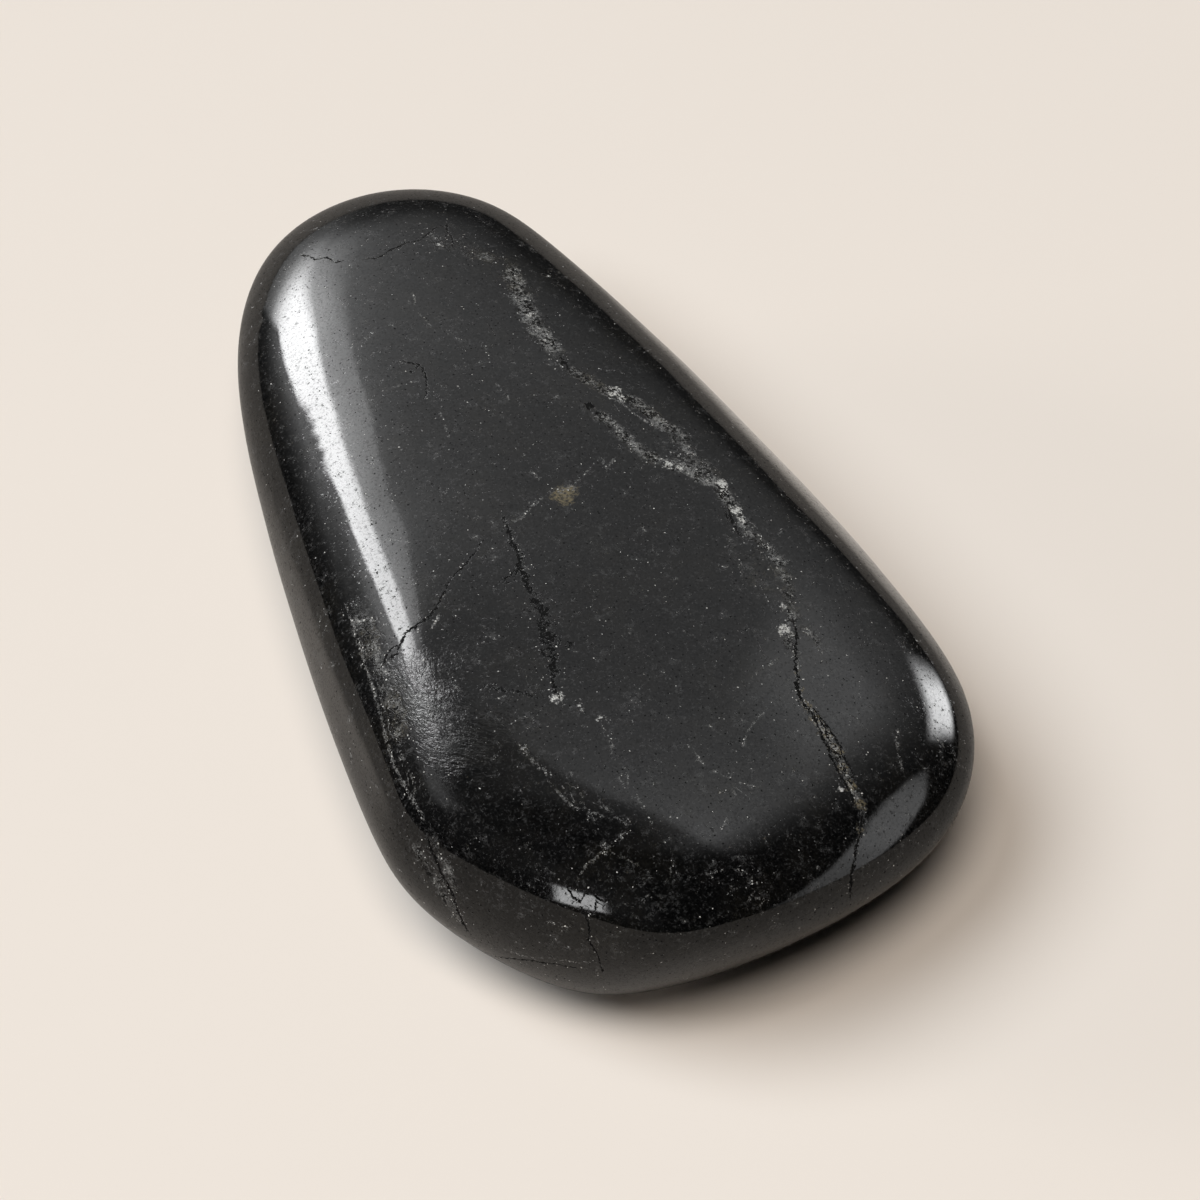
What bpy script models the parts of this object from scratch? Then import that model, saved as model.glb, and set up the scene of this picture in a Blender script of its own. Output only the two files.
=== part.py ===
"""A tumbled shungite stone: one black, glassy pebble, worn round and polished in a tumbler.

The stone lies on its belly. +Z is up, +Y runs to its narrow end, and the origin is under the
middle of its box, on the surface it rests on. Lengths are in millimetres until the mesh is made.

The stone began as a flat, three-cornered splinter and was then worn down. So its form is given by
the worn corners that stand out from it: each is an upright ellipsoid, and the stone is the smooth
skin stretched around them all, with the broad, faint dents that tumbling leaves.
"""

import bpy
import bmesh
import numpy as np
from mathutils import Vector, noise
from mathutils.bvhtree import BVHTree

METRES = 0.001

# The worn corners: (across, along, up) of the middle, radius seen from above, half height.
CORNERS = {
    "narrow_end": (-1.6, 15.7, 6.6, 7.2, 2.0),
    "narrow_left": (-6.4, 9.9, 7.1, 4.4, 2.9),
    "broad_left": (-10.0, -13.0, 7.1, 3.0, 4.0),
    "broad_right": (4.0, -12.6, 6.2, 8.9, 3.4),
    "broad_brow": (-2.6, -18.6, 8.6, 4.3, 2.0),
    "broad_foot": (-5.1, -17.5, 3.8, 3.0, 2.5),
    "right_waist": (7.6, -4.6, 6.7, 1.6, 3.1),
    "belly_narrow": (-2.0, 6.4, 4.8, 5.2, 4.0),
    "belly_broad": (0.6, -6.7, 4.8, 7.4, 4.0),
    "narrow_underside": (-1.5, 16.3, 4.6, 5.2, 3.4),
    "right_underside": (4.6, -11.4, 4.6, 6.8, 3.7),
}
EDGE_ROUNDING = 0.86        # how softly the skin passes from one corner to the next

# The grid of the skin, laid out on a box-shaped sphere of about the stone's own size.
GRID_CUTS = 27              # cuts along each side of the box
GRID_REACH = (13.0, 23.0, 7.0)
GRID_MIDDLE = (0.0, -1.0, 6.0)
SKIN_LEVEL = 7              # how finely the skin is worked out before the grid is laid on it

# Dents left by tumbling: (size across, depth)
DENTS = ((9.0, 0.08), (4.0, 0.03))
DENT_SEED = Vector((3.1, 7.7, 1.9))
WORN_DEPTH = 0.25           # how much of the belly is worn away to the flat it rests on

SHUNGITE_BLACK = (0.012, 0.0115, 0.011, 1.0)
SHUNGITE_ROUGHNESS = 0.16


def clear_scene():
    for existing in list(bpy.data.objects):
        bpy.data.objects.remove(existing, do_unlink=True)


def skin_points(normals):
    """The point of the stretched skin that faces along each unit normal."""
    corners = np.array(list(CORNERS.values()))
    middles = corners[:, :3]
    radii = corners[:, [3, 3, 4]]
    stretched = normals[:, None, :] * radii
    spans = np.linalg.norm(stretched, axis=2)
    tips = middles + stretched * radii / spans[:, :, None]
    reaches = normals @ middles.T + spans

    # A soft maximum of the corners' reaches keeps the skin convex and without creases.
    furthest = reaches.max(axis=1, keepdims=True)
    weights = np.exp((reaches - furthest) / EDGE_ROUNDING)
    total = weights.sum(axis=1, keepdims=True)
    weights /= total
    reach = furthest + EDGE_ROUNDING * np.log(total)
    lift = reach - (weights * reaches).sum(axis=1, keepdims=True)
    return (weights[:, :, None] * tips).sum(axis=1) + lift * normals


def fine_skin():
    """The skin as a fine net of triangles that rays can be cast onto."""
    net = bmesh.new()
    bmesh.ops.create_icosphere(net, subdivisions=SKIN_LEVEL, radius=1.0)
    normals = np.array([vertex.co.normalized()[:] for vertex in net.verts])
    points = [Vector(point) for point in skin_points(normals)]
    triangles = [[vertex.index for vertex in face.verts] for face in net.faces]
    net.free()
    return BVHTree.FromPolygons(points, triangles)


def dented(point, outward):
    """Move a point of the skin in or out by the faint dents of tumbling."""
    shift = 0.0
    for size, depth in DENTS:
        shift += depth * noise.noise(point / size + DENT_SEED)
    return point + outward * shift


def settled(points):
    """Set the stone over the origin, on the flat that its belly is worn to."""
    low = points.min(axis=0)
    high = points.max(axis=0)
    origin = (low + high) / 2
    origin[2] = low[2] + WORN_DEPTH
    points = points - origin
    points[:, 2] = np.maximum(points[:, 2], 0.0)
    return points


def make_stone(name):
    skin = fine_skin()
    middle = Vector(GRID_MIDDLE)
    reach = Vector(GRID_REACH)

    grid = bmesh.new()
    bmesh.ops.create_cube(grid, size=2.0)
    bmesh.ops.subdivide_edges(grid, edges=grid.edges, cuts=GRID_CUTS, use_grid_fill=True)
    points = []
    for vertex in grid.verts:
        # The tangent spaces the rows evenly once the box is blown up into a sphere.
        even = Vector([np.tan(side * np.pi / 4) for side in vertex.co])
        direction = (even.normalized() * reach).normalized()
        point, outward, _, _ = skin.ray_cast(middle, direction)
        points.append(dented(point, outward))
    for vertex, point in zip(grid.verts, settled(np.array(points))):
        vertex.co = Vector(point) * METRES
    bmesh.ops.recalc_face_normals(grid, faces=grid.faces)
    mesh = bpy.data.meshes.new(name)
    grid.to_mesh(mesh)
    grid.free()
    mesh.shade_smooth()

    stone = bpy.data.objects.new(name, mesh)
    bpy.context.collection.objects.link(stone)
    return stone


def shungite_material():
    material = bpy.data.materials.new("shungite")
    material.use_nodes = True
    shader = material.node_tree.nodes["Principled BSDF"]
    shader.inputs["Base Color"].default_value = SHUNGITE_BLACK
    shader.inputs["Roughness"].default_value = SHUNGITE_ROUGHNESS
    shader.inputs["Metallic"].default_value = 0.0
    material.diffuse_color = SHUNGITE_BLACK
    return material


clear_scene()
stone = make_stone("tumbled_shungite")
stone.data.materials.append(shungite_material())
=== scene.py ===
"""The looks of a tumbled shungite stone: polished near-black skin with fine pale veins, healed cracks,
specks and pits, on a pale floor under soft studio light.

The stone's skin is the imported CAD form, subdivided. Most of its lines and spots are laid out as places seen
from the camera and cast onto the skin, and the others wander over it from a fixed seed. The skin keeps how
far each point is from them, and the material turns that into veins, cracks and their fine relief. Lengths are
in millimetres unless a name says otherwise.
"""

import math
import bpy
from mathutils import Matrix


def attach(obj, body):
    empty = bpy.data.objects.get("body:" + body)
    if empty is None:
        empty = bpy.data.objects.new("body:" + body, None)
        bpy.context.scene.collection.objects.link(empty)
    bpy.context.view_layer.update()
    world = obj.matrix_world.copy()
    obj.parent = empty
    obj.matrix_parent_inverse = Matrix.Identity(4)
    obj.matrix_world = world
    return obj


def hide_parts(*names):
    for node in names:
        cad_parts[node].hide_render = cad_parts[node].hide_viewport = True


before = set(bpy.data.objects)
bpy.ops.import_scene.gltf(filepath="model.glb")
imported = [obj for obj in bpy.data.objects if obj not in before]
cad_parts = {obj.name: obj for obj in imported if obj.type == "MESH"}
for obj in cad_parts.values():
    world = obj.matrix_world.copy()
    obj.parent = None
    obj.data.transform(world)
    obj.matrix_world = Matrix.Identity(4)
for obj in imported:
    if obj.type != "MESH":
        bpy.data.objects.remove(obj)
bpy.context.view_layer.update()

from types import SimpleNamespace

import bmesh
import bpy
import numpy as np
from mathutils import Vector
from mathutils.bvhtree import BVHTree

MM = 0.001
DEGREES = 180 / math.pi
NODE = "tumbled_shungite"

# ---------------------------------------------------------------------------------------------------
# Camera
# ---------------------------------------------------------------------------------------------------
IMAGE_SIDE = 1200
CAMERA_TARGET = Vector((0.965, -1.543, 4.537))
CAMERA_BACK = Vector((-0.2304, -0.6001, 0.7660)).normalized()
CAMERA_DISTANCE = 224.0
CAMERA_FIELD = math.radians(13.3)
SENSOR_WIDTH = 36.0
CLIP_NEAR, CLIP_FAR = 0.01, 20.0

CAMERA_RIGHT = Vector((0, 0, 1)).cross(CAMERA_BACK).normalized()
CAMERA_UP = CAMERA_BACK.cross(CAMERA_RIGHT)
AWAY = Vector((0, 0, 1)).cross(CAMERA_RIGHT)
CAMERA_PLACE = CAMERA_TARGET + CAMERA_BACK * CAMERA_DISTANCE
FOCAL_PIXELS = IMAGE_SIDE / 2 / math.tan(CAMERA_FIELD / 2)


def make_camera():
    data = bpy.data.cameras.new("camera")
    data.sensor_width = SENSOR_WIDTH
    data.lens = SENSOR_WIDTH / 2 / math.tan(CAMERA_FIELD / 2)
    data.clip_start, data.clip_end = CLIP_NEAR, CLIP_FAR
    camera = bpy.data.objects.new("camera", data)
    camera.location = CAMERA_PLACE * MM
    camera.rotation_mode = "QUATERNION"
    camera.rotation_quaternion = (-CAMERA_BACK).to_track_quat("-Z", "Y")
    bpy.context.scene.collection.objects.link(camera)
    bpy.context.scene.camera = camera


# ---------------------------------------------------------------------------------------------------
# Node graphs
# ---------------------------------------------------------------------------------------------------
class Graph:
    """Builds a node tree. Values may be numbers, vectors or another node's output."""

    def __init__(self, tree):
        self.tree = tree
        self.tree.nodes.clear()

    def node(self, kind, inputs=None, **settings):
        made = self.tree.nodes.new(kind)
        for name, value in settings.items():
            setattr(made, name, value)
        for name, value in (inputs or {}).items():
            self.feed(made.inputs[name], value)
        return made

    def feed(self, socket, value):
        """Sets a socket to a value, or links another node's output to it."""
        if isinstance(value, bpy.types.NodeSocket):
            self.tree.links.new(value, socket)
        else:
            socket.default_value = value

    def math(self, operation, a, b=0.0, clamp=False):
        made = self.tree.nodes.new("ShaderNodeMath")
        made.operation, made.use_clamp = operation, clamp
        for socket, value in zip(made.inputs, (a, b)):
            self.feed(socket, value)
        return made.outputs[0]

    def add(self, *values):
        total = values[0]
        for value in values[1:]:
            total = self.math("ADD", total, value)
        return total

    def times(self, *values):
        total = values[0]
        for value in values[1:]:
            total = self.math("MULTIPLY", total, value)
        return total

    def most(self, *values):
        total = values[0]
        for value in values[1:]:
            total = self.math("MAXIMUM", total, value)
        return total

    def minus(self, a, b):
        return self.math("SUBTRACT", a, b)

    def step(self, value, start, end, low=0.0, high=1.0):
        """Smoothly from low at start to high at end."""
        made = self.node("ShaderNodeMapRange", interpolation_type="SMOOTHSTEP")
        for name, fed in (
            ("Value", value),
            ("From Min", start),
            ("From Max", end),
            ("To Min", low),
            ("To Max", high),
        ):
            self.feed(made.inputs[name], fed)
        return made.outputs[0]

    def curve(self, value, points):
        """Straight lines through (value, result) points, held level outside them."""
        low, high = points[0][0], points[-1][0]
        most = max(result for _, result in points)
        ramp = self.node("ShaderNodeValToRGB")
        ramp.color_ramp.interpolation = "LINEAR"
        stops = ramp.color_ramp.elements
        while len(stops) < len(points):
            stops.new(1.0)
        for stop, (at, result) in zip(stops, points):
            stop.position = (at - low) / (high - low)
            stop.color = (result / most,) * 3 + (1,)
        share = self.math("DIVIDE", self.minus(value, low), high - low)
        self.feed(ramp.inputs[0], share)
        return self.times(ramp.outputs[0], most)

    def dot(self, a, b):
        made = self.node("ShaderNodeVectorMath", {0: a, 1: b}, operation="DOT_PRODUCT")
        return made.outputs["Value"]

    def shift(self, a, b):
        """The vector a moved by b."""
        made = self.node("ShaderNodeVectorMath", {0: a, 1: b}, operation="ADD")
        return made.outputs["Vector"]

    def scale(self, a, factor):
        made = self.node("ShaderNodeVectorMath", {0: a, "Scale": factor}, operation="SCALE")
        return made.outputs["Vector"]

    def noise(self, place, scale, detail, roughness):
        """A noise as one value and as a colour of three."""
        made = self.node(
            "ShaderNodeTexNoise",
            {"Vector": place, "Scale": scale, "Detail": detail, "Roughness": roughness},
        )
        return made.outputs["Fac"], made.outputs["Color"]

    def mix(self, share, a, b):
        """Colour a where share is 0, b where it is 1."""
        made = self.node("ShaderNodeMix", data_type="RGBA")
        self.feed(made.inputs["Factor"], share)
        colours = [s for s in made.inputs if s.type == "RGBA"]
        self.feed(colours[0], a)
        self.feed(colours[1], b)
        return [s for s in made.outputs if s.type == "RGBA"][0]


# ---------------------------------------------------------------------------------------------------
# Studio: what the polish reflects, the floor and the fill light
# ---------------------------------------------------------------------------------------------------
BACKGROUND = (0.86, 0.80, 0.73, 1.0)
FLOOR_HALF_SIDE = 3000.0
FLOOR_COLOUR = (0.80, 0.743, 0.687, 1.0)
FLOOR_ROUGHNESS = 0.9
# Painted reflection: the rim mirrors the floor weakly because the floor is painted darker for glossy rays, a
# painted shade, with two painted lighter pools of light on it: (right of and away from the middle), radius,
# gain
FLOOR_PAINTED_SHADE_IN_POLISH = 0.41
PAINTED_LIGHT_POOLS_IN_POLISH = (((17.0, 17.0), 24.0, 0.76), ((-28.0, -2.0), 17.0, 0.48))

# Angles are in degrees: azimuth 0 is straight away from the camera and 90 to its right.
# Small soft boxes: (middle azimuth, tilt of their upper and lower edges in degrees of elevation per degree
# of azimuth), (left fades in, right fades out), (bottom fades in, top fades out), brightness.
BOXES = (
    ((50.0, -0.35), ((40.5, 48.5), (54.0, 61.5)), ((0.5, 7.0), (15.5, 21.0)), 9.6),
    ((-150.0, 1.0), ((-157.5, -154.0), (-146.0, -144.0)), ((7.5, 12.0), (28.5, 33.0)), 6.8),
)
# The low box on the right is bent: its upper and lower edges (the lower one above -10) and its brightness
# change with azimuth.
BENT_UPPER = ((70, 27), (77, 30.5), (84, 29.6), (92.5, 25.5), (102, 21.5), (112, 13), (122, 3))
BENT_LOWER = ((70, 32), (74, 30), (82, 24.5), (89.5, 20.5), (96.4, 13.7), (104, 8), (115, 2))
BENT_LOW = -10.0
BENT_GLOW = ((69.5, 0.0), (72.5, 0.8), (78, 1.25), (95, 1.35), (103, 0.95), (113, 0.75), (128, 0.0))
BENT_EDGE = (-1.8, 1.8)
# The main soft box and the grey shelf of wall beside it. By elevation: its left and right edge and the
# shelf's outer edge, in degrees of azimuth past MAIN_START. FALL is brightness by degrees past an edge, FADE
# and EDGE say over how many degrees an edge fades, CRISP how crisp it is by elevation, MARGIN is the glow
# just left of the box, and UP dims all of it by elevation.
MAIN_START = -50.0
MAIN_LEFT = (
    (0, 12), (11, 12.5), (14, 13), (20, 8.5), (25, 6.5), (31, 9), (37, 9.8), (41, 9), (46, 8.5), (50, 8),
)
MAIN_RIGHT = (
    (0, 36), (8, 33), (12, 30), (20, 27), (27, 25), (31, 22.5), (35, 20), (41, 21.5), (44.5, 19.8), (47, 19),
    (50, 14),
)
SHELF_RIGHT = (
    (0, 38), (20, 36), (30, 35), (36, 32), (40, 31.2), (43, 32), (44, 30.5), (46, 27.5), (48, 24), (50, 18),
)
MAIN_LEVEL = 15.6
MAIN_EDGE = (-1.3, 1.3)
MAIN_FADE = (-2.2, 2.0, 1.0, 0.0)
MAIN_CRISP = ((12, 0.22), (22, 0.42), (32, 1.0))
SHELF_FALL = ((-1, 5.2), (3, 4.1), (8, 3.0), (20, 2.1))
SHELF_FADE = (-1.2, 1.4, 1.0, 0.0)
SHELF_CRISP = ((18, 0.12), (30, 0.32), (38, 1.0))
WALL_FALL = ((-30, 0.9), (0, 1.1), (3, 0.78), (8, 0.45), (16, 0.20), (28, 0.0))
MAIN_MARGIN = ((-22, 0.0), (-16, 0.10), (-11, 0.30), (-8, 0.5), (-4.5, 0.9), (-2, 1.4), (0.5, 0.0))
MAIN_UP = (
    (0, 0.03), (5, 0.06), (8, 0.13), (11.5, 0.36), (14, 0.62), (18, 0.86), (24, 1.0), (36, 1.0), (39, 0.93),
    (42, 0.82), (45.5, 0.78), (47, 0.6), (49, 0.3), (51, 0.08), (54, 0.0),
)
# The wall and ceiling: where the bright part ends by azimuth, and its brightness across and up.
CEILING_END = (
    (-60, 52), (-25, 54), (-12, 57), (-6, 61), (0, 66.5), (8, 69), (20, 70), (40, 70.2), (60, 69), (75, 66),
    (90, 60),
)
CEILING_PAST_END = (-1.8, 2.2, 1.0, 0.30)
CEILING_DARKENS = (71.0, 80.0, 1.0, 0.22)
CEILING_LEAN, CEILING_MIDDLE = 0.45, 50.0
CEILING_ACROSS = (
    (-100, 0.12), (-60, 0.22), (-40, 0.45), (-15, 0.78), (0, 0.88), (20, 0.97), (36, 1.12), (48, 1.28),
    (55, 1.25), (62, 0.72), (70, 0.26), (78, 0.06), (90, 0.0),
)
CEILING_UP = (
    (0, 0.02), (7, 0.04), (11, 0.13), (16, 0.23), (20, 0.28), (24, 0.35), (30, 0.44), (40, 0.50), (52, 0.56),
    (60, 0.77), (66, 0.94), (80, 0.94),
)
# A faint band of wall on the left
LEFT_UP = ((34, 0.0), (40, 0.7), (46, 1.0), (49, 0.9), (53, 0.35), (58, 0.0))
LEFT_ACROSS = ((-110, 0.0), (-98, 0.55), (-80, 0.8), (-60, 0.8), (-46, 1.4), (-38, 0.5), (-30, 0.0))
# A soft glow of wall on the right
RIGHT_UP = ((28, 0.0), (33, 0.25), (36.5, 0.48), (45, 0.48), (49, 0.24), (54, 0.0))
RIGHT_ACROSS = ((23, 0.0), (28, 0.8), (33, 1.0), (48, 1.0), (53, 0.5), (58, 0.0))
ROOM_GLOW = 0.008
STUDIO_WHITE = (0.99, 0.995, 1.0, 1.0)


def make_world():
    """The soft studio light that the stone mirrors, by direction, behind a plain background."""
    world = bpy.data.worlds.new("studio")
    bpy.context.scene.world = world
    world.use_nodes = True
    world.cycles_visibility.diffuse = False
    g = Graph(world.node_tree)
    way = g.node("ShaderNodeTexCoord").outputs["Generated"]
    across = g.dot(way, CAMERA_RIGHT)
    away = g.dot(way, AWAY)
    up = g.dot(way, (0, 0, 1))
    azimuth = g.times(g.math("ARCTAN2", across, away), DEGREES)
    elevation = g.times(g.math("ARCSINE", up), DEGREES)

    past_start = g.minus(azimuth, MAIN_START)
    past_left = g.minus(past_start, g.curve(elevation, MAIN_LEFT))
    past_right = g.minus(past_start, g.curve(elevation, MAIN_RIGHT))
    past_shelf = g.minus(past_start, g.curve(elevation, SHELF_RIGHT))
    firm = g.times(past_right, g.curve(elevation, MAIN_CRISP))
    core = g.times(g.step(firm, *MAIN_FADE), MAIN_LEVEL)
    crisp = g.times(past_shelf, g.curve(elevation, SHELF_CRISP))
    shelf = g.times(g.curve(past_right, SHELF_FALL), g.step(crisp, *SHELF_FADE))
    main = g.times(g.most(core, shelf, g.curve(past_shelf, WALL_FALL)), g.step(past_left, *MAIN_EDGE))
    main = g.add(main, g.curve(past_left, MAIN_MARGIN))
    light = g.times(main, g.curve(elevation, MAIN_UP))

    past_end = g.minus(elevation, g.curve(azimuth, CEILING_END))
    leaning = g.minus(azimuth, g.times(g.minus(elevation, CEILING_MIDDLE), CEILING_LEAN))
    ceiling = g.times(
        g.curve(leaning, CEILING_ACROSS),
        g.curve(elevation, CEILING_UP),
        g.step(past_end, *CEILING_PAST_END),
        g.step(elevation, *CEILING_DARKENS),
    )
    left_wall = g.times(g.curve(elevation, LEFT_UP), g.curve(azimuth, LEFT_ACROSS))
    right_wall = g.times(g.curve(elevation, RIGHT_UP), g.curve(azimuth, RIGHT_ACROSS))
    light = g.add(light, ceiling, left_wall, right_wall)

    for (middle, tilt), (left, right), (bottom, top), brightness in BOXES:
        tilted = g.add(elevation, g.times(g.minus(azimuth, middle), tilt))
        box = g.times(
            g.step(azimuth, *left),
            g.step(azimuth, *right, 1.0, 0.0),
            g.step(tilted, *bottom),
            g.step(tilted, *top, 1.0, 0.0),
            brightness,
        )
        light = g.add(light, box)
    past_upper = g.minus(elevation, g.curve(azimuth, BENT_UPPER))
    past_lower = g.minus(g.minus(elevation, BENT_LOW), g.curve(azimuth, BENT_LOWER))
    bent = g.times(
        g.step(past_upper, *BENT_EDGE, 1.0, 0.0),
        g.step(past_lower, *BENT_EDGE),
        g.curve(azimuth, BENT_GLOW),
    )
    light = g.add(light, bent, ROOM_GLOW)

    studio = g.node("ShaderNodeBackground", {"Color": STUDIO_WHITE, "Strength": light})
    plain = g.node("ShaderNodeBackground", {"Color": BACKGROUND, "Strength": 1.0})
    seen = g.node("ShaderNodeLightPath").outputs["Is Camera Ray"]
    mixed = g.node("ShaderNodeMixShader", {0: seen})
    g.feed(mixed.inputs[1], studio.outputs[0])
    g.feed(mixed.inputs[2], plain.outputs[0])
    g.node("ShaderNodeOutputWorld", {"Surface": mixed.outputs[0]})


def make_floor():
    """A pale, matt floor, painted darker with two painted pools of light for glossy rays only: a painted
    reflection that the polish mirrors more weakly than the camera sees the floor.
    """
    side = FLOOR_HALF_SIDE * MM
    mesh = bpy.data.meshes.new("floor")
    corners = [(-side, -side, 0), (side, -side, 0), (side, side, 0), (-side, side, 0)]
    mesh.from_pydata(corners, [], [(0, 1, 2, 3)])
    floor = bpy.data.objects.new("floor", mesh)
    bpy.context.scene.collection.objects.link(floor)
    material = bpy.data.materials.new("pale_floor")
    material.use_nodes = True
    g = Graph(material.node_tree)
    mirrored = g.node("ShaderNodeLightPath").outputs["Is Glossy Ray"]
    place = g.node("ShaderNodeTexCoord").outputs["Object"]
    # Painted reflection: glossy rays see the floor's colour painted darker, a painted shade, plus two painted
    # pools of light.
    kept = FLOOR_PAINTED_SHADE_IN_POLISH
    for (right, away), radius, gain in PAINTED_LIGHT_POOLS_IN_POLISH:
        middle = (CAMERA_RIGHT * right + AWAY * away) * MM
        gap = g.node("ShaderNodeVectorMath", {0: place, 1: middle}, operation="DISTANCE").outputs["Value"]
        kept = g.add(kept, g.step(gap, radius * MM, 0.0, 0.0, gain))
    painted_reflection_colour = g.scale(FLOOR_COLOUR[:3], kept)
    colour = g.mix(mirrored, FLOOR_COLOUR, painted_reflection_colour)
    surface = g.node("ShaderNodeBsdfPrincipled", {"Base Color": colour, "Roughness": FLOOR_ROUGHNESS})
    surface.inputs["Specular IOR Level"].default_value = 0.0
    g.node("ShaderNodeOutputMaterial", {"Surface": surface.outputs[0]})
    mesh.materials.append(material)


# Fill lights: azimuth and elevation in degrees, distance, size, watts, colour. They light the floor and the
# pale veins but leave the polish alone.
FILLS = (
    ("key_fill", -98.5, 57.0, 1500.0, 985.0, 15.6, (0.955, 1.01, 1.055)),
    ("front_fill", -171.0, 68.5, 1500.0, 640.0, 11.7, (1.05, 0.96, 0.87)),
    ("low_fill", -82.0, 10.0, 1500.0, 420.0, 6.0, (1.05, 0.96, 0.87)),
)


def toward(azimuth, elevation):
    """The direction at that azimuth and elevation in degrees."""
    a, e = math.radians(azimuth), math.radians(elevation)
    level = CAMERA_RIGHT * math.sin(a) + AWAY * math.cos(a)
    return level * math.cos(e) + Vector((0, 0, 1)) * math.sin(e)


def make_fills():
    for name, azimuth, elevation, distance, size, watts, colour in FILLS:
        data = bpy.data.lights.new(name, "AREA")
        data.shape, data.size, data.energy = "DISK", size * MM, watts
        data.color = colour
        lamp = bpy.data.objects.new(name, data)
        way = toward(azimuth, elevation)
        lamp.location = way * distance * MM
        lamp.rotation_mode = "QUATERNION"
        lamp.rotation_quaternion = (-way).to_track_quat("-Z", "Y")
        lamp.visible_glossy = False
        lamp.visible_camera = False
        bpy.context.scene.collection.objects.link(lamp)


# ---------------------------------------------------------------------------------------------------
# The stone's skin
# ---------------------------------------------------------------------------------------------------
SUBDIVISIONS = 2
MERGE_METRES = 1e-6
JOIN_FACE_ANGLE, JOIN_SHAPE_ANGLE = 0.6, 1.2


def fine_skin(node):
    """The CAD form as one closed, finely divided mesh."""
    work = bmesh.new()
    work.from_mesh(node.data)
    bmesh.ops.remove_doubles(work, verts=work.verts, dist=MERGE_METRES)
    bmesh.ops.join_triangles(
        work,
        faces=work.faces,
        angle_face_threshold=JOIN_FACE_ANGLE,
        angle_shape_threshold=JOIN_SHAPE_ANGLE,
    )
    mesh = bpy.data.meshes.new("shungite_skin")
    work.to_mesh(mesh)
    work.free()
    stone = bpy.data.objects.new("shungite_skin", mesh)
    bpy.context.scene.collection.objects.link(stone)
    divide = stone.modifiers.new("divide", "SUBSURF")
    divide.levels = divide.render_levels = SUBDIVISIONS
    bpy.context.view_layer.update()
    evaluated = stone.evaluated_get(bpy.context.evaluated_depsgraph_get())
    fine = bpy.data.meshes.new_from_object(evaluated)
    stone.modifiers.clear()
    stone.data = fine
    bpy.data.meshes.remove(mesh)
    fine.name = "shungite_skin"
    fine.materials.clear()
    fine.shade_smooth()
    return stone


# ---------------------------------------------------------------------------------------------------
# Markings, listed one by one. Points are pixels of the camera's 1200 x 1200 frame, cast onto the skin.
# Lines are (strength, half width in mm, points).
# ---------------------------------------------------------------------------------------------------
FEATHERY_VEINS = (
    (0.30, 0.40, ((418, 236), (440, 242), (468, 250), (500, 264))),
    (0.65, 0.26, ((508, 262), (518, 288), (529, 314), (548, 343), (561, 357))),
    (0.50, 0.20, ((563, 366), (578, 374), (596, 384), (617, 392))),
    (0.60, 0.22, ((617, 392), (640, 406), (658, 420), (672, 431), (692, 441))),
    (0.55, 0.20, ((592, 410), (602, 416), (620, 432), (641, 451), (664, 463))),
    (0.65, 0.24, ((664, 463), (684, 466), (702, 476), (720, 487), (736, 509))),
    (0.45, 0.22, ((672, 431), (690, 455), (708, 470), (722, 482))),
    (0.45, 0.20, ((730, 500), (745, 527), (765, 546), (780, 562), (788, 582), (796, 602))),
    (0.28, 0.16, ((728, 528), (733, 552), (746, 574), (764, 592))),
    (0.42, 0.24, ((788, 582), (792, 610), (786, 634), (797, 652))),
    (0.22, 0.40, ((742, 560), (764, 590), (780, 610))),
    (0.30, 0.20, ((797, 624), (812, 634), (822, 648))),
    (0.38, 0.30, ((352, 596), (362, 622), (378, 662), (392, 700), (404, 752))),
    (0.55, 0.13, ((801, 698), (812, 714), (824, 730), (834, 749), (843, 768), (852, 788), (862, 810))),
    (0.46, 0.50, ((770, 612), (784, 628), (800, 640))),
    (0.43, 0.24, ((408, 838), (428, 868), (446, 900), (466, 926))),
    (0.32, 0.20, ((430, 834), (444, 866), (458, 896))),
)
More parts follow.
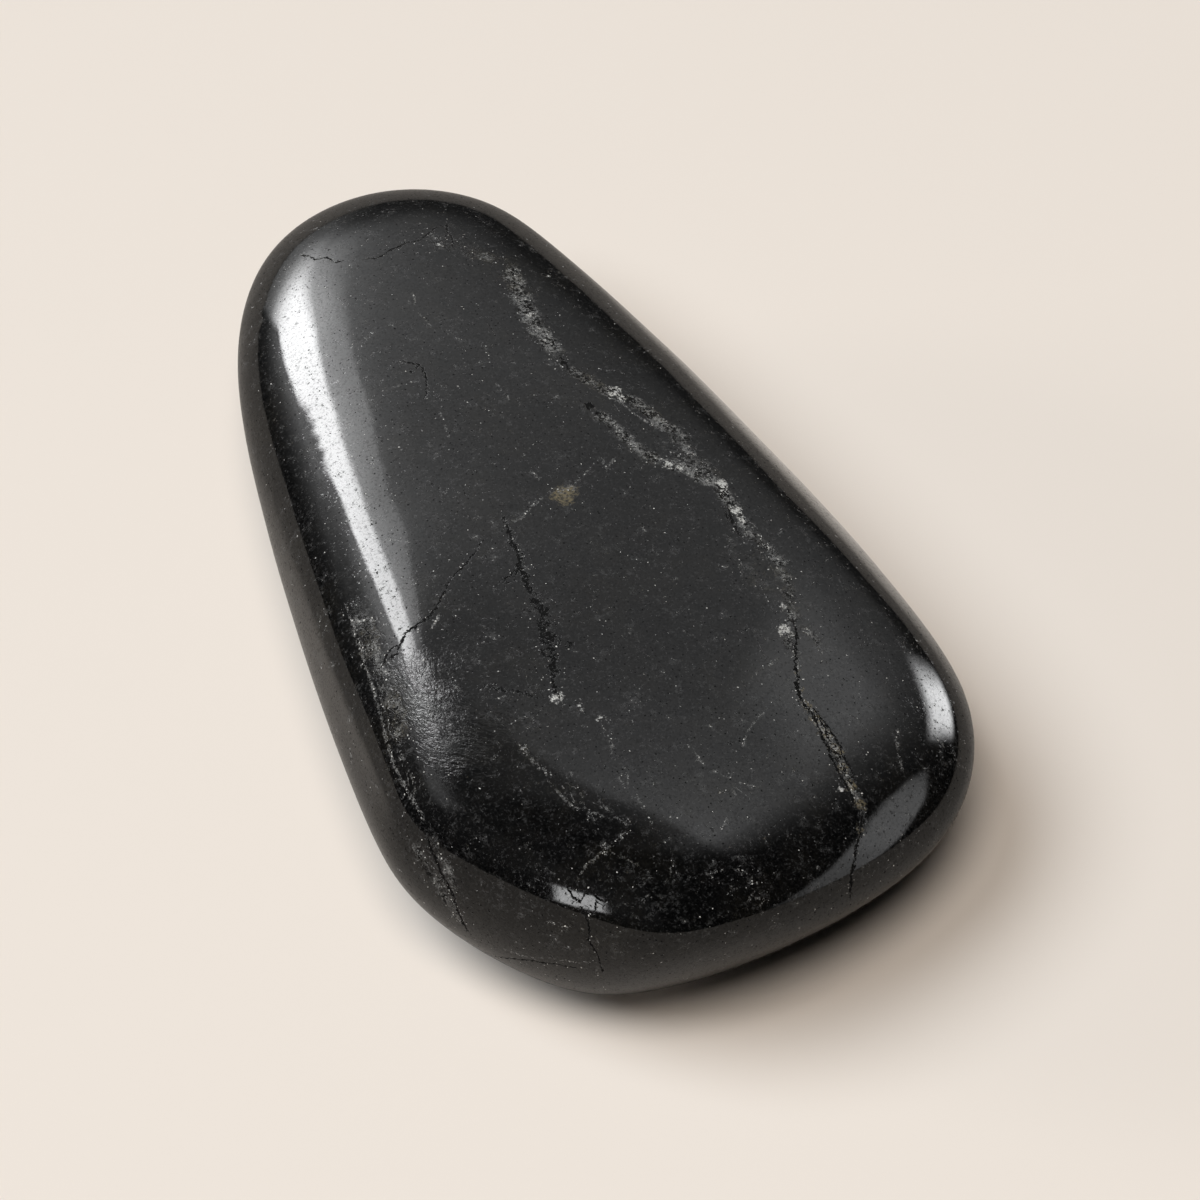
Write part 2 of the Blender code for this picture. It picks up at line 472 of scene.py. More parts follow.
PALE_THREADS = (
    (0.50, 0.045, ((505, 262), (512, 276), (520, 292), (534, 322), (552, 348))),
    (0.60, 0.040, ((590, 380), (604, 394), (622, 404), (640, 418), (660, 428))),
    (0.55, 0.040, ((600, 416), (614, 424), (634, 446), (658, 458), (684, 464))),
    (0.60, 0.040, ((684, 464), (702, 475), (720, 478))),
    (0.60, 0.045, ((736, 520), (748, 534), (762, 540), (776, 556), (786, 574), (794, 598))),
    (0.45, 0.035, ((741, 514), (756, 528), (764, 540))),
    (0.55, 0.040, ((600, 456), (607, 466), (616, 456))),
    (0.45, 0.035, ((607, 466), (605, 476))),
    (0.45, 0.035, ((412, 290), (417, 310), (430, 325))),
    (0.35, 0.035, ((440, 410), (445, 425), (450, 440))),
    (0.50, 0.040, ((441, 613), (435, 622), (427, 636))),
    (0.40, 0.035, ((483, 625), (490, 630))),
    (0.40, 0.050, ((542, 498), (531, 508), (520, 519), (505, 525))),
    (0.35, 0.035, ((566, 490), (580, 478), (597, 462))),
    (0.50, 0.045, ((519, 744), (525, 751), (540, 767), (554, 776))),
    (0.30, 0.035, ((554, 776), (576, 788), (600, 802), (622, 822))),
    (0.28, 0.035, ((600, 720), (614, 748), (628, 776), (640, 802))),
    (0.25, 0.035, ((735, 690), (752, 676), (776, 660), (798, 642))),
    (0.25, 0.040, ((600, 850), (612, 854), (626, 858), (642, 868))),
    (0.24, 0.035, ((700, 880), (722, 884), (748, 894), (780, 908))),
    (0.21, 0.035, ((744, 876), (756, 892), (762, 910))),
    (0.50, 0.045,
     ((796, 640), (799, 690), (812, 712), (826, 730), (836, 750), (845, 772), (856, 794),
      (863, 812))),
    (0.45, 0.040, ((632, 828), (617, 840), (597, 857), (585, 868), (578, 878))),
    (0.30, 0.035, ((567, 767), (583, 797), (588, 823))),
    (0.26, 0.035, ((687, 877), (707, 873), (730, 870), (747, 873), (757, 883))),
    (0.22, 0.035, ((693, 873), (700, 880), (730, 887), (747, 900))),
    (0.40, 0.040, ((687, 743), (700, 760), (713, 772), (722, 772), (733, 782), (763, 787))),
    (0.28, 0.040, ((733, 782), (733, 803), (722, 827), (720, 830))),
    (0.40, 0.035, ((743, 750), (748, 730), (763, 713), (773, 703))),
    (0.40, 0.035, ((500, 948), (527, 957), (550, 958), (573, 962), (593, 963))),
    (0.30, 0.035, ((543, 920), (567, 927), (590, 930), (597, 940), (597, 967), (597, 977))),
    (0.30, 0.035, ((640, 905), (652, 890), (668, 880), (672, 862))),
    (0.35, 0.040, ((540, 770), (556, 790), (572, 806), (590, 812), (612, 818))),
    (0.60, 0.050, ((346, 604), (358, 640), (374, 692), (396, 768), (428, 826))),
    (0.30, 0.040, ((366, 640), (384, 690), (398, 742), (416, 788))),
    (0.35, 0.035, ((410, 842), (430, 876), (450, 908))),
    (0.30, 0.035, ((640, 600), (662, 622), (690, 634), (712, 656))),
    (0.25, 0.035, ((470, 330), (488, 352), (494, 380), (512, 402))),
    (0.22, 0.035, ((640, 520), (652, 548), (672, 566), (680, 592))),
)
DARK_CRACKS = (
    (0.7, 0.080, ((505, 520), (512, 540), (520, 560), (525, 580), (533, 595), (540, 610))),
    (0.7, 0.170, ((533, 595), (540, 610), (547, 634), (552, 658), (553, 672))),
    (0.7, 0.070, ((553, 668), (552, 680), (556, 694))),
    (0.6, 0.035, ((482, 542), (466, 564), (450, 580), (438, 604))),
    (1.0, 0.050, ((438, 604), (425, 620), (406, 632), (400, 645), (394, 657))),
    (0.9, 0.040, ((400, 645), (390, 650), (382, 664))),
    (0.9, 0.055, ((794, 622), (796, 640), (797, 680), (801, 700), (812, 713))),
    (0.7, 0.050, ((810, 712), (819, 729), (828, 748), (836, 768), (847, 788), (858, 811))),
    (0.5, 0.040, ((812, 708), (826, 724), (838, 744), (848, 764), (858, 786))),
    (0.6, 0.060, ((863, 811), (861, 832), (855, 852), (850, 900))),
    (0.45, 0.035, ((300, 255), (309, 256), (316, 260), (326, 257), (335, 262), (345, 261))),
    (0.60, 0.040,
     ((370, 259), (380, 257), (389, 251), (399, 247), (406, 242), (416, 241), (427, 235), (434, 229),
      (450, 223))),
    (0.5, 0.035, ((450, 223), (446, 231), (453, 238), (452, 248))),
    (0.8, 0.070, ((560, 356), (564, 364), (570, 370))),
    (0.45, 0.035, ((406, 362), (416, 364), (424, 370), (427, 384), (426, 398))),
    (0.4, 0.060, ((486, 686), (504, 690), (520, 693), (536, 698))),
    (0.5, 0.035, ((566, 884), (572, 896), (582, 902))),
    (0.5, 0.035, ((590, 886), (596, 898), (594, 910))),
    (0.4, 0.030, ((582, 902), (588, 892), (600, 900), (612, 900))),
    (0.5, 0.040, ((516, 566), (508, 578), (498, 584))),
    (0.5, 0.040, ((548, 634), (560, 642), (574, 644))),
    (0.5, 0.045, ((726, 500), (732, 520), (742, 540))),
    (0.8, 0.050, ((426, 836), (436, 858), (441, 872), (452, 892), (458, 912), (468, 932))),
    (0.6, 0.035, ((582, 906), (590, 928), (589, 940), (597, 954), (603, 972))),
    (0.5, 0.035, ((473, 951), (500, 957), (528, 960), (556, 964), (584, 969))),
)
# Lumps of pale mineral and dark hollows: (strength, radius in mm, pixel)
PALE_SPOTS = (
    (1.00, 0.34, (614, 391)), (0.90, 0.26, (623, 398)), (0.70, 0.22, (528, 314)), (0.60, 0.20, (546, 340)),
    (0.80, 0.30, (668, 465)), (0.75, 0.24, (680, 467)), (1.00, 0.26, (722, 484)), (1.00, 0.24, (723, 492)),
    (0.95, 0.30, (736, 510)), (0.80, 0.26, (742, 519)), (0.80, 0.22, (766, 545)), (0.85, 0.22, (783, 606)),
    (0.55, 0.44, (786, 630)), (0.45, 0.26, (808, 632)), (0.55, 0.22, (848, 772)), (0.50, 0.20, (840, 790)),
    (0.60, 0.20, (862, 806)), (0.45, 0.16, (832, 740)), (0.45, 0.16, (812, 712)), (0.60, 0.22, (361, 622)),
    (0.66, 0.34, (557, 697)),
    (0.55, 0.24, (580, 706)), (0.58, 0.26, (602, 719)), (0.60, 0.20, (523, 747)), (0.50, 0.16, (535, 602)),
    (0.45, 0.30, (440, 243)), (0.50, 0.18, (548, 276)), (0.45, 0.16, (562, 286)), (0.40, 0.20, (720, 790)),
)
DARK_SPOTS = (
    (0.9, 0.22, (590, 406)), (0.8, 0.14, (597, 413)), (0.8, 0.18, (563, 363)), (0.9, 0.16, (727, 516)),
    (0.7, 0.20, (541, 608)), (0.8, 0.16, (418, 366)), (0.7, 0.14, (411, 371)), (0.7, 0.18, (552, 664)),
    (0.8, 0.20, (556, 284)), (0.7, 0.16, (545, 275)), (0.7, 0.16, (575, 306)),
)
# Worn, finely scratched places in the polish
SCUFFS = (
    (1.0, 1.7, (447, 748)), (0.9, 1.6, (432, 708)), (0.6, 1.2, (416, 674)), (0.6, 1.3, (470, 785)),
    (0.8, 1.1, (385, 680)), (0.6, 0.9, (362, 630)), (0.45, 0.8, (338, 580)), (0.35, 0.7, (312, 520)),
    (0.5, 1.0, (500, 720)), (0.45, 1.2, (480, 650)), (0.5, 1.0, (450, 660)),
)
# Olive grains: a cluster on the top, and a row along the healed crack on the right
OLIVE_SPOTS = (
    (1.0, 0.50, (563, 496)), (0.8, 0.30, (572, 490)),
    (0.5, 0.20, (798, 672)), (0.6, 0.22, (801, 690)), (0.7, 0.26, (808, 706)), (0.8, 0.30, (816, 718)),
    (0.8, 0.32, (826, 733)), (0.8, 0.32, (835, 750)), (0.8, 0.30, (843, 768)), (0.8, 0.30, (851, 786)),
    (0.8, 0.30, (860, 804)), (0.5, 0.24, (860, 830)),
)
# Wandering markings: how many, then ranges of length in mm, half width in mm and strength. Threads wander
# over the whole stone. Veins and cracks are kept only where they are turned away from the camera.
WANDERERS = {
    "feathery": (9, (5.0, 14.0), (0.18, 0.32), (0.25, 0.5)),
    "threads": (70, (1.5, 8.0), (0.030, 0.045), (0.12, 0.28)),
    "cracks": (16, (2.0, 7.0), (0.035, 0.07), (0.4, 0.8)),
}
WANDER_SEED = 23
WANDER_STEP = 0.35
WANDER_TURN = 0.28
WANDER_FROM = 20.0
# How lines and spots are laid out and kept: pixels between cast points, how far a line is felt in mm, the
# value kept far from any line, the share of a line that fades at each end and its strength there, how many
# half widths from a line its strength starts to fade, and how many radii from its middle a spot ends.
LINE_PIXELS = 6
REACH = 1.2
FAR_ACROSS = 9.0
END_SHARE, END_STRENGTH = 0.12, 0.35
FADE_FROM = 2.5
SPOT_END = 1.5
# A line counts as seen if one of this many places on it faces the camera by more than this.
SEEN_SAMPLES, SEEN_FACING = 6, 0.05
# Keeps a division from zero.
TINY = 1e-12


class Skin:
    """The stone's fine mesh as arrays in millimetres, with a way to find places on it."""

    def __init__(self, stone):
        self.mesh = stone.data
        count = len(self.mesh.vertices)
        flat = np.zeros(count * 3, np.float32)
        self.mesh.vertices.foreach_get("co", flat)
        self.places = flat.reshape(-1, 3).astype(float) / MM
        normals = np.zeros(count * 3, np.float32)
        self.mesh.vertex_normals.foreach_get("vector", normals)
        self.normals = normals.reshape(-1, 3).astype(float)
        faces = [tuple(face.vertices) for face in self.mesh.polygons]
        self.tree = BVHTree.FromPolygons([Vector(place) for place in self.places], faces)

    def at_pixel(self, pixel):
        """The place on the skin seen at that pixel, and None off the stone."""
        x, y = pixel[0] - IMAGE_SIDE / 2, IMAGE_SIDE / 2 - pixel[1]
        ray = CAMERA_RIGHT * x + CAMERA_UP * y - CAMERA_BACK * FOCAL_PIXELS
        place, _, _, _ = self.tree.ray_cast(CAMERA_PLACE, ray.normalized())
        return place

    def line(self, pixels):
        """A smooth line on the skin through those pixels."""
        knots = [Vector((x, y, 0)) for x, y in pixels]
        knots = [knots[0] * 2 - knots[1]] + knots + [knots[-1] * 2 - knots[-2]]
        found = []
        for before, start, end, after in zip(knots, knots[1:], knots[2:], knots[3:]):
            pieces = max(2, int((end - start).length / LINE_PIXELS))
            for i in range(pieces):
                t = i / pieces
                bend = (
                    start * 2
                    + (end - before) * t
                    + (before * 2 - start * 5 + end * 4 - after) * t**2
                    + (start * 3 - before - end * 3 + after) * t**3
                ) / 2
                found.append(self.at_pixel(bend))
        found.append(self.at_pixel(knots[-2]))
        return [place for place in found if place is not None]

    def wander(self, draw, length):
        """A line that strays over the skin from a random place."""
        way = Vector(draw.normal(size=3)).normalized()
        place, normal, _, _ = self.tree.find_nearest(way * WANDER_FROM)
        heading = normal.cross(Vector(draw.normal(size=3))).normalized()
        found = [place]
        for _ in range(int(length / WANDER_STEP)):
            turn = normal.cross(heading) * float(draw.normal(0.0, WANDER_TURN))
            heading = (heading + turn).normalized()
            place, normal, _, _ = self.tree.find_nearest(place + heading * WANDER_STEP)
            heading = (heading - normal * heading.dot(normal)).normalized()
            found.append(place)
        return found

    def is_seen(self, line):
        """Whether any of the line faces the camera."""
        for place in line[:: max(1, len(line) // SEEN_SAMPLES)]:
            _, normal, _, _ = self.tree.find_nearest(place)
            if normal.dot(CAMERA_BACK) > SEEN_FACING:
                return True
        return False

    def near(self, line):
        """The vertices within reach of a line, with their signed distance to it and share along it."""
        points = np.array(line)
        low, high = points.min(0) - REACH, points.max(0) + REACH
        chosen = np.nonzero(np.all((self.places > low) & (self.places < high), axis=1))[0]
        places, normals = self.places[chosen], self.normals[chosen]
        nearest = np.full(len(chosen), np.inf)
        signed, along = np.zeros(len(chosen)), np.zeros(len(chosen))
        for i, (start, end) in enumerate(zip(points, points[1:])):
            way = end - start
            share = np.clip((places - start) @ way / max(way @ way, TINY), 0, 1)
            gap = places - (start + share[:, None] * way)
            distance = np.linalg.norm(gap, axis=1)
            side = np.sign(np.einsum("ij,ij->i", np.cross(way, gap), normals))
            closer = distance < nearest
            nearest[closer] = distance[closer]
            signed[closer] = (distance * side)[closer]
            along[closer] = ((i + share) / (len(points) - 1))[closer]
        return chosen, nearest, signed, along


def keep(mesh, name, values):
    """Keeps a value for each vertex, under a name that the material reads."""
    attribute = mesh.attributes.new(name, "FLOAT", "POINT")
    attribute.data.foreach_set("value", np.asarray(values, np.float32))


def mark_lines(skin, name, lines):
    """Keeps, for the nearest of the lines, the distance across in half widths and the local strength."""
    count = len(skin.places)
    across, strength = np.full(count, FAR_ACROSS), np.zeros(count)
    rank = np.full(count, np.inf)
    for power, half_width, line in lines:
        if len(line) < 2:
            continue
        chosen, distance, signed, along = skin.near(line)
        ends = np.clip(np.minimum(along, 1 - along) / END_SHARE, 0, 1)
        fade = np.clip((REACH - distance) / (REACH - FADE_FROM * half_width), 0, 1)
        better = distance / half_width < rank[chosen]
        hit = chosen[better]
        rank[hit] = (distance / half_width)[better]
        across[hit] = (signed / half_width)[better]
        strength[hit] = (power * (END_STRENGTH + (1 - END_STRENGTH) * ends) * fade)[better]
    keep(skin.mesh, name + "_across", across)
    keep(skin.mesh, name + "_strength", strength)


def mark_spots(skin, name, spots):
    """Keeps the strength of the strongest spot at each vertex: all in its middle, none past its end."""
    level = np.zeros(len(skin.places))
    for power, radius, pixel in spots:
        middle = skin.at_pixel(pixel)
        if middle is None:
            continue
        distance = np.linalg.norm(skin.places - np.array(middle), axis=1)
        level = np.maximum(level, power * np.clip(SPOT_END - distance / radius, 0, 1))
    keep(skin.mesh, name, level)


def mark_skin(stone):
    """Lays out all markings: those listed and those that wander over the stone."""
    skin = Skin(stone)
    draw = np.random.default_rng(WANDER_SEED)
    layers = {"feathery": FEATHERY_VEINS, "threads": PALE_THREADS, "cracks": DARK_CRACKS}
    for name, drawn in layers.items():
        lines = [(power, width, skin.line(pixels)) for power, width, pixels in drawn]
        count, lengths, widths, powers = WANDERERS[name]
        for _ in range(count):
            line = skin.wander(draw, draw.uniform(*lengths))
            wanderer = (draw.uniform(*powers), draw.uniform(*widths), line)
            if name == "threads" or not skin.is_seen(line):
                lines.append(wanderer)
        mark_lines(skin, name, lines)
    mark_spots(skin, "pale_spot", PALE_SPOTS)
    mark_spots(skin, "dark_spot", DARK_SPOTS)
    mark_spots(skin, "olive_spot", OLIVE_SPOTS)
    mark_spots(skin, "scuff", SCUFFS)
    return skin


# ---------------------------------------------------------------------------------------------------
# Material
# ---------------------------------------------------------------------------------------------------
STONE_BLACK = (0.0008, 0.0008, 0.0009, 1.0)
STONE_CLOUD = (0.0030, 0.0028, 0.0026, 1.0)
STONE_GRAIN = (0.0190, 0.0195, 0.0200, 1.0)
FOG_GREY = (0.083, 0.084, 0.083, 1.0)
FOG_OLIVE = (0.085, 0.078, 0.058, 1.0)
FLECK_DIM = (0.147, 0.150, 0.153, 1.0)
STROKE_GREY = (0.36, 0.365, 0.36, 1.0)
LUMP_PALE = (0.57, 0.575, 0.56, 1.0)
FLECK_BRIGHT = (0.62, 0.62, 0.60, 1.0)
OLIVE = (0.15, 0.128, 0.082, 1.0)
PIT_BLACK = (0.003, 0.003, 0.003, 1.0)
CRACK_BLACK = (0.003, 0.0026, 0.0022, 1.0)
POLISH = 0.045
POLISH_RANGE = (0.35, 0.70, POLISH * 0.8, POLISH * 1.6)
SCUFFED = 0.085
VEIN_ROUGHER = 0.12
STONE_IOR = 1.55
DULL_ROUGHNESS = 0.8
DULL_SPECULAR = 0.1

# Noises over the stone: scale in features per mm, detail, roughness. Each gives a value and three more in its
# colour, which are used about their middle as sway, jag and grit: slow, quick and very quick changes.
COARSE_NOISE = (0.35, 3.0, 0.6)
MIDDLE_NOISE = (1.5, 4.0, 0.62)
FINE_NOISE = (5.5, 3.0, 0.65)
GRAIN_NOISE = (10.0, 2.0, 0.6)
NOISE_MIDDLE = 0.5

# Each marking is a kept value, strayed by weights of these noises, that fades in between two limits.
BAND_STRAY, BAND_EDGE = (4.0, 3.0), (3.0, 0.2)
PATCH_STRAY, PATCH_EDGE = (2.2, 0.8), (0.25, 0.8)
THREAD_STRAY, THREAD_EDGE = (7.0, 9.0), (2.6, 0.6)
THREAD_BREAKS, THREAD_WHOLE = (1.8, 1.8), (0.12, 0.55)
CRACK_STRAY, CRACK_EDGE = (7.0, 8.0, 4.0), (1.4, 0.7)
CRACK_BREAKS, CRACK_WHOLE = (1.6, 1.2), (0.12, 0.42)
BESIDE_CRACK_EDGE = (7.0, 1.5)
HOLLOW_STRAY, HOLLOW_EDGE = (2.4, 0.8), (0.42, 0.62)
# Small dark breaks in the veins and in their lumps: level and width of the noise curls they follow
VEIN_BREAK_CURL, VEIN_BREAK_WHERE = (0.05, 0.095), (-0.10, 0.06)
VEIN_BREAK_GAIN, VEIN_BREAK_EDGE = 1.8, (0.2, 0.8)
LUMP_BREAK_CURL, LUMP_BREAK_GAIN = (0.08, 0.035), 0.9

FOG_STRAY, FOG_EDGE, FOG_MOST = (1.2, 0.6), (0.08, 0.90), 0.7
LUMP_STRAY, LUMP_EDGE, LUMP_MOST = (1.3, 0.6), (0.55, 0.85), 0.95
FIBRE_CURLS = ((0.0, 0.05), (0.03, 0.04))
FIBRED_EDGE, FIBRES_IN_VEIN, FIBRES_IN_THREAD = (0.12, 0.65), 0.6, 0.42
CLUSTER_JAG, CLUSTER_EDGE = 0.5, (0.03, 0.26)
FAINT_IN_CLUSTER, FAINT_ELSEWHERE = 0.21, 0.020
FLECK_EVERYWHERE = 0.003
# Crumbs are richer in clusters, along threads, beside cracks, in veins and in patches.
FLECK_RICHER = (0.05, 0.75, 0.38, 0.55, 0.4)
FLECK_STRAY = 0.14
# Cells per mm, and the radius of a fleck in cells
FLECKS, DUST, PITS = (5.5, 0.26), (10.0, 0.36), (4.5, 0.23)
DUST_MORE, PIT_RICHNESS, PIT_MOST = 0.02, 0.32, 0.9
PIT_SHIFT = (31.0, 17.0, 5.0)
DUST_STRENGTH = (0.0, 1.0, 0.2, 1.0)
FLECK_BRIGHTENS, DUST_BRIGHTENS = (0.1, 1.0), (0.5, 1.0)
FLECK_CORE, CURL_CORE, DICE_EDGE = 0.6, 0.3, 0.01
OLIVE_STRAY, OLIVE_EDGE, OLIVE_GRAIN = (1.6, 0.6), (0.2, 0.8), (-0.22, 0.16, 0.15, 0.95)

CLOUD_EDGE = (0.86, 1.16)
GRAIN_STRAY, GRAIN_EDGE = (0.6,), (0.02, 0.26)
TOOTH_STRAY, TOOTH_EDGE = (0.5,), (0.0, 0.17, 0.0, 0.33)
FOG_OLIVE_EDGE = (0.50, 0.62)
OLIVE_COVERS, PIT_COVERS, FAINT_COVERS = (0.0, 0.3), (0.2, 0.6), (0.02, 0.1)
STROKE_COVERS, FLECK_COVERS, CRACK_COVERS = (0.1, 0.5), (0.2, 0.6), (0.1, 0.4)
LEAST_SHARE = 0.001

# Fine scratches of the scuffed places curve round the spot seen at this pixel.
SCUFF_TURN = (540, 640)
SCUFF_STRAY, SCUFF_EDGE = (0.8,), (0.1, 1.0)
SCRATCHES_PER_MM, SCRATCH_STRAY = 9.0, 5.0
SCRATCH_ALONG, SCRATCH_ALONG_SCALE, SCRATCH_DRIFT = (0.2, 0.9, 0.3), 2.5, 3.0
SCRATCH_NOISE = (1.0, 2.0, 0.6)

# Relief of the skin in millimetres: cracks, then unevenness by jag and by sway, scratches, and veins
CRACK_RELIEF, JAG_RELIEF, SWAY_RELIEF, SCRATCH_RELIEF = -0.010, 0.0009, 0.0019, 0.024
VEIN_RELIEF = (0.05, 0.06)


class StoneGraph(Graph):
    """A graph with the patterns that the stone's markings are made of."""

    def kept(self, name):
        """The value kept on the skin under that name."""
        return self.node("ShaderNodeAttribute", attribute_name=name).outputs["Fac"]

    def about_middle(self, colour):
        """The three values of a noise's colour, each about its middle."""
        split = self.node("ShaderNodeSeparateColor", {"Color": colour})
        return [self.minus(output, NOISE_MIDDLE) for output in split.outputs]

    def stray(self, value, weights, *noises):
        """The value with each noise added by its weight."""
        return self.add(value, *(self.times(noise, weight) for noise, weight in zip(noises, weights)))

    def off_line(self, name, weights, *noises):
        """How far from the nearest line of that kind, in half widths, strayed by noises."""
        return self.math("ABSOLUTE", self.stray(self.kept(name + "_across"), weights, *noises))

    def curl(self, value, level, width):
        """Curly lines where a noise passes a level."""
        return self.step(self.math("ABSOLUTE", self.minus(value, level)), width, width * CURL_CORE)

    def flecks(self, place, richness, scale, radius):
        """Round flecks in a share of the Voronoi cells, and a chance value for each fleck."""
        cell = self.node("ShaderNodeTexVoronoi", {"Vector": place, "Scale": scale})
        dice = self.node("ShaderNodeSeparateColor", {"Color": cell.outputs["Color"]})
        empty = self.minus(1.0, richness)
        chosen = self.step(dice.outputs[0], empty, self.add(empty, DICE_EDGE))
        fleck = self.step(cell.outputs["Distance"], radius, radius * FLECK_CORE)
        return self.times(fleck, chosen), dice.outputs[1]


def spread_noises(g, place):
    """The noises that bend and break up every marking."""
    n = SimpleNamespace()
    n.coarse, _ = g.noise(place, *COARSE_NOISE)
    n.middle, sways = g.noise(place, *MIDDLE_NOISE)
    _, n.jags = g.noise(place, *FINE_NOISE)
    _, grits = g.noise(place, *GRAIN_NOISE)
    n.sway, n.sway_b, n.sway_c = g.about_middle(sways)
    n.jag, n.jag_b, n.jag_c = g.about_middle(n.jags)
    n.grit, n.grit_b, n.grit_c = g.about_middle(grits)
    return n


def find_markings(g, n):
    """Where the veins, patches, threads and cracks are."""
    m = SimpleNamespace()
    m.band = g.step(g.off_line("feathery", BAND_STRAY, n.sway, n.jag), *BAND_EDGE)
    m.band = g.times(m.band, g.kept("feathery_strength"))
    m.patch = g.step(g.stray(g.kept("pale_spot"), PATCH_STRAY, n.jag_b, n.sway_b), *PATCH_EDGE)
    m.mineral = g.most(m.band, m.patch)

    thread = g.step(g.off_line("threads", THREAD_STRAY, n.sway, n.jag), *THREAD_EDGE)
    whole = g.stray(g.kept("threads_strength"), THREAD_BREAKS, n.sway_b, n.jag_c)
    m.thread = g.times(thread, g.step(whole, *THREAD_WHOLE))

    gap = g.off_line("cracks", CRACK_STRAY, n.sway_c, n.jag_b, n.grit_b)
    whole = g.stray(g.kept("cracks_strength"), CRACK_BREAKS, n.jag, n.sway_b)
    crack = g.times(g.step(gap, *CRACK_EDGE), g.step(whole, *CRACK_WHOLE))
    m.beside_crack = g.times(g.step(gap, *BESIDE_CRACK_EDGE), g.kept("cracks_strength"))
    hollow = g.step(g.stray(g.kept("dark_spot"), HOLLOW_STRAY, n.jag_c, n.sway_c), *HOLLOW_EDGE)
    vein_break = g.times(
        m.band,
        g.curl(n.jag, *VEIN_BREAK_CURL),
        g.step(n.sway_c, *VEIN_BREAK_WHERE),
        VEIN_BREAK_GAIN,
    )
    lump_break = g.times(m.patch, g.curl(n.jag_c, *LUMP_BREAK_CURL), LUMP_BREAK_GAIN)
    m.crack = g.most(crack, hollow, g.step(vein_break, *VEIN_BREAK_EDGE), lump_break)
    return m


def find_minerals(g, n, m, place):
    """Pale mineral: fog, fibres and lumps in the veins, and crumbs that crowd there and along threads."""
    fog = g.step(g.stray(m.mineral, FOG_STRAY, n.jag_c, n.grit), *FOG_EDGE)
    m.fog = g.times(fog, FOG_MOST)
    m.lump = g.step(g.stray(m.patch, LUMP_STRAY, n.jag_c, n.grit_b), *LUMP_EDGE)
    curls = g.most(g.curl(n.jag_b, *FIBRE_CURLS[0]), g.curl(n.jag_c, *FIBRE_CURLS[1]))
    fibred = g.step(g.add(m.mineral, n.sway_b), *FIBRED_EDGE)
    fibres = g.most(g.times(fibred, FIBRES_IN_VEIN), g.times(m.thread, FIBRES_IN_THREAD))
    m.stroke = g.times(curls, fibres)
    cluster = g.step(g.add(n.sway_b, g.times(n.jag_c, CLUSTER_JAG)), *CLUSTER_EDGE)
    m.faint = g.times(curls, g.add(g.times(cluster, FAINT_IN_CLUSTER), FAINT_ELSEWHERE))

    rich = g.stray(FLECK_EVERYWHERE, FLECK_RICHER, cluster, m.thread, m.beside_crack, m.band, m.patch)
    strayed = g.shift(place, g.scale(n.jags, FLECK_STRAY))
    m.fleck, m.fleck_chance = g.flecks(strayed, rich, *FLECKS)
    m.dust, m.dust_chance = g.flecks(strayed, g.add(rich, DUST_MORE), *DUST)
    m.pit, _ = g.flecks(g.shift(strayed, PIT_SHIFT), PIT_RICHNESS, *PITS)

    olive = g.step(g.stray(g.kept("olive_spot"), OLIVE_STRAY, n.jag, n.sway_b), *OLIVE_EDGE)
    m.olive = g.times(olive, g.step(g.add(n.grit, n.jag_b), *OLIVE_GRAIN))


def matte_look(g, n, m):
    """The colour of what is dull on the skin, and its share of the skin."""
    matte = g.mix(g.step(n.coarse, *FOG_OLIVE_EDGE), FOG_GREY, FOG_OLIVE)
    matte = g.mix(g.step(m.olive, *OLIVE_COVERS), matte, OLIVE)
    matte = g.mix(g.step(m.pit, *PIT_COVERS), matte, PIT_BLACK)
    matte = g.mix(g.step(m.faint, *FAINT_COVERS), matte, FLECK_DIM)
    matte = g.mix(g.step(m.stroke, *STROKE_COVERS), matte, STROKE_GREY)
    matte = g.mix(m.lump, matte, LUMP_PALE)
    bright_fleck = g.times(m.fleck, g.step(m.fleck_chance, *FLECK_BRIGHTENS))
    bright_dust = g.times(m.dust, g.step(m.dust_chance, *DUST_BRIGHTENS))
    crumb = g.mix(g.most(bright_fleck, bright_dust), FLECK_DIM, FLECK_BRIGHT)
    matte = g.mix(g.step(g.most(m.fleck, m.dust), *FLECK_COVERS), matte, crumb)
    matte = g.mix(g.step(m.crack, *CRACK_COVERS), matte, CRACK_BLACK)

    tooth = g.step(g.stray(n.grit_c, TOOTH_STRAY, n.jag_b), *TOOTH_EDGE)
    dust = g.times(m.dust, g.step(m.dust_chance, *DUST_STRENGTH))
    lump, pit = g.times(m.lump, LUMP_MOST), g.times(m.pit, PIT_MOST)
    share = g.most(m.fog, m.fleck, dust, pit, m.faint, m.olive, m.crack, tooth, m.stroke, lump)
    # Where the skin is only toothed, its dull share is dark.
    pale = g.most(m.fog, m.fleck, m.dust, m.faint, m.olive, m.stroke, m.lump)
    pale_share = g.math("DIVIDE", pale, g.most(share, LEAST_SHARE), clamp=True)
    return g.mix(pale_share, PIT_BLACK, matte), share


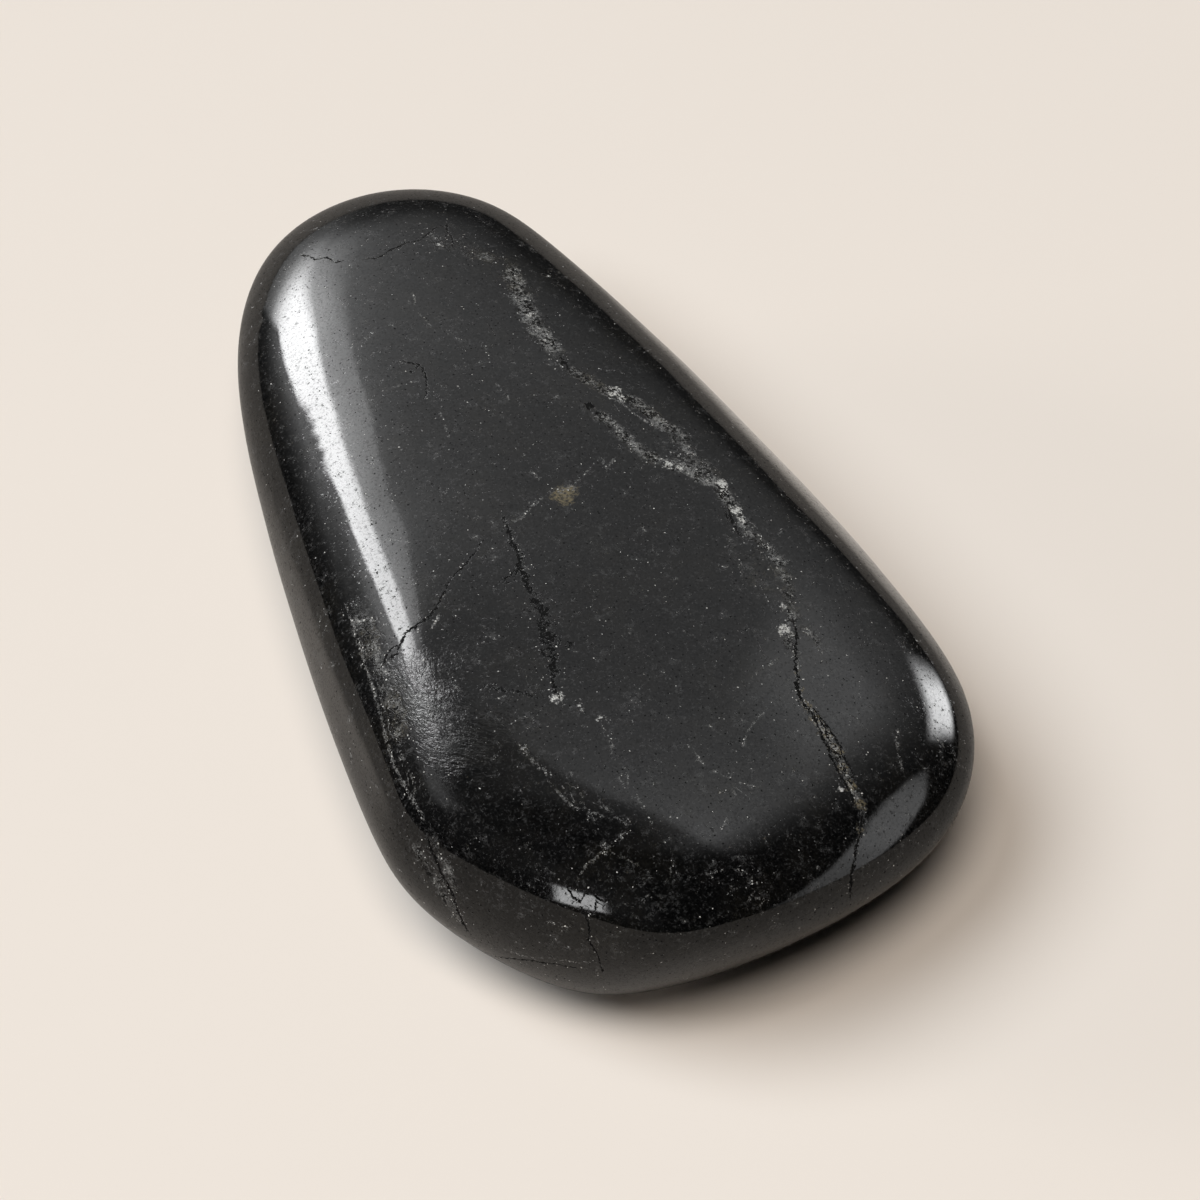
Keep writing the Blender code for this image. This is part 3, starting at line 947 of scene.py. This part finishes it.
def find_scratches(g, n, place, turn_place):
    """How scuffed the skin is, and a noise of fine scratches that curve round one place."""
    scuff = g.step(g.stray(g.kept("scuff"), SCUFF_STRAY, n.sway), *SCUFF_EDGE)
    turn = g.node("ShaderNodeVectorMath", {0: place, 1: turn_place}, operation="DISTANCE")
    scratch_place = g.node(
        "ShaderNodeCombineXYZ",
        {
            0: g.add(g.times(turn.outputs["Value"], SCRATCHES_PER_MM), g.times(n.sway_c, SCRATCH_STRAY)),
            1: g.times(g.dot(place, SCRATCH_ALONG), SCRATCH_ALONG_SCALE),
            2: g.times(n.sway, SCRATCH_DRIFT),
        },
    )
    scratch, _ = g.noise(scratch_place.outputs[0], *SCRATCH_NOISE)
    return scuff, g.minus(scratch, NOISE_MIDDLE)


def shungite_material(turn_place):
    material = bpy.data.materials.new("polished_shungite")
    material.use_nodes = True
    g = StoneGraph(material.node_tree)
    place = g.scale(g.node("ShaderNodeTexCoord").outputs["Object"], 1 / MM)
    n = spread_noises(g, place)
    m = find_markings(g, n)
    find_minerals(g, n, m, place)
    matte, matte_share = matte_look(g, n, m)
    scuff, scratch = find_scratches(g, n, place, turn_place)

    black = g.mix(g.step(g.add(n.coarse, n.middle), *CLOUD_EDGE), STONE_BLACK, STONE_CLOUD)
    black = g.mix(g.step(g.stray(n.grit_b, GRAIN_STRAY, n.jag_c), *GRAIN_EDGE), black, STONE_GRAIN)
    height = g.add(
        g.times(m.crack, CRACK_RELIEF),
        g.times(n.jag, JAG_RELIEF),
        g.times(n.sway, SWAY_RELIEF),
        g.times(scuff, scratch, SCRATCH_RELIEF),
        g.times(m.mineral, g.add(g.times(n.jag, VEIN_RELIEF[0]), g.times(n.sway, VEIN_RELIEF[1]))),
    )
    bump = g.node("ShaderNodeBump", {"Height": height, "Distance": MM, "Strength": 1.0})
    normal = bump.outputs["Normal"]
    rough = g.add(
        g.step(n.middle, *POLISH_RANGE),
        g.times(scuff, SCUFFED),
        g.times(m.mineral, VEIN_ROUGHER),
    )
    polished = g.node(
        "ShaderNodeBsdfPrincipled",
        {"Base Color": black, "Roughness": rough, "IOR": STONE_IOR, "Normal": normal},
    )
    dull = g.node(
        "ShaderNodeBsdfPrincipled",
        {
            "Base Color": matte,
            "Roughness": DULL_ROUGHNESS,
            "Specular IOR Level": DULL_SPECULAR,
            "Normal": normal,
        },
    )
    surface = g.node("ShaderNodeMixShader", {0: matte_share, 1: polished.outputs[0], 2: dull.outputs[0]})
    g.node("ShaderNodeOutputMaterial", {"Surface": surface.outputs[0]})
    return material


# ---------------------------------------------------------------------------------------------------
# Scene
# ---------------------------------------------------------------------------------------------------
bpy.context.scene.view_settings.view_transform = "Standard"
make_camera()
make_world()
make_floor()
make_fills()

stone = fine_skin(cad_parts[NODE])
skin = mark_skin(stone)
stone.data.materials.append(shungite_material(skin.at_pixel(SCUFF_TURN)))
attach(stone, "root")
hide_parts(NODE)
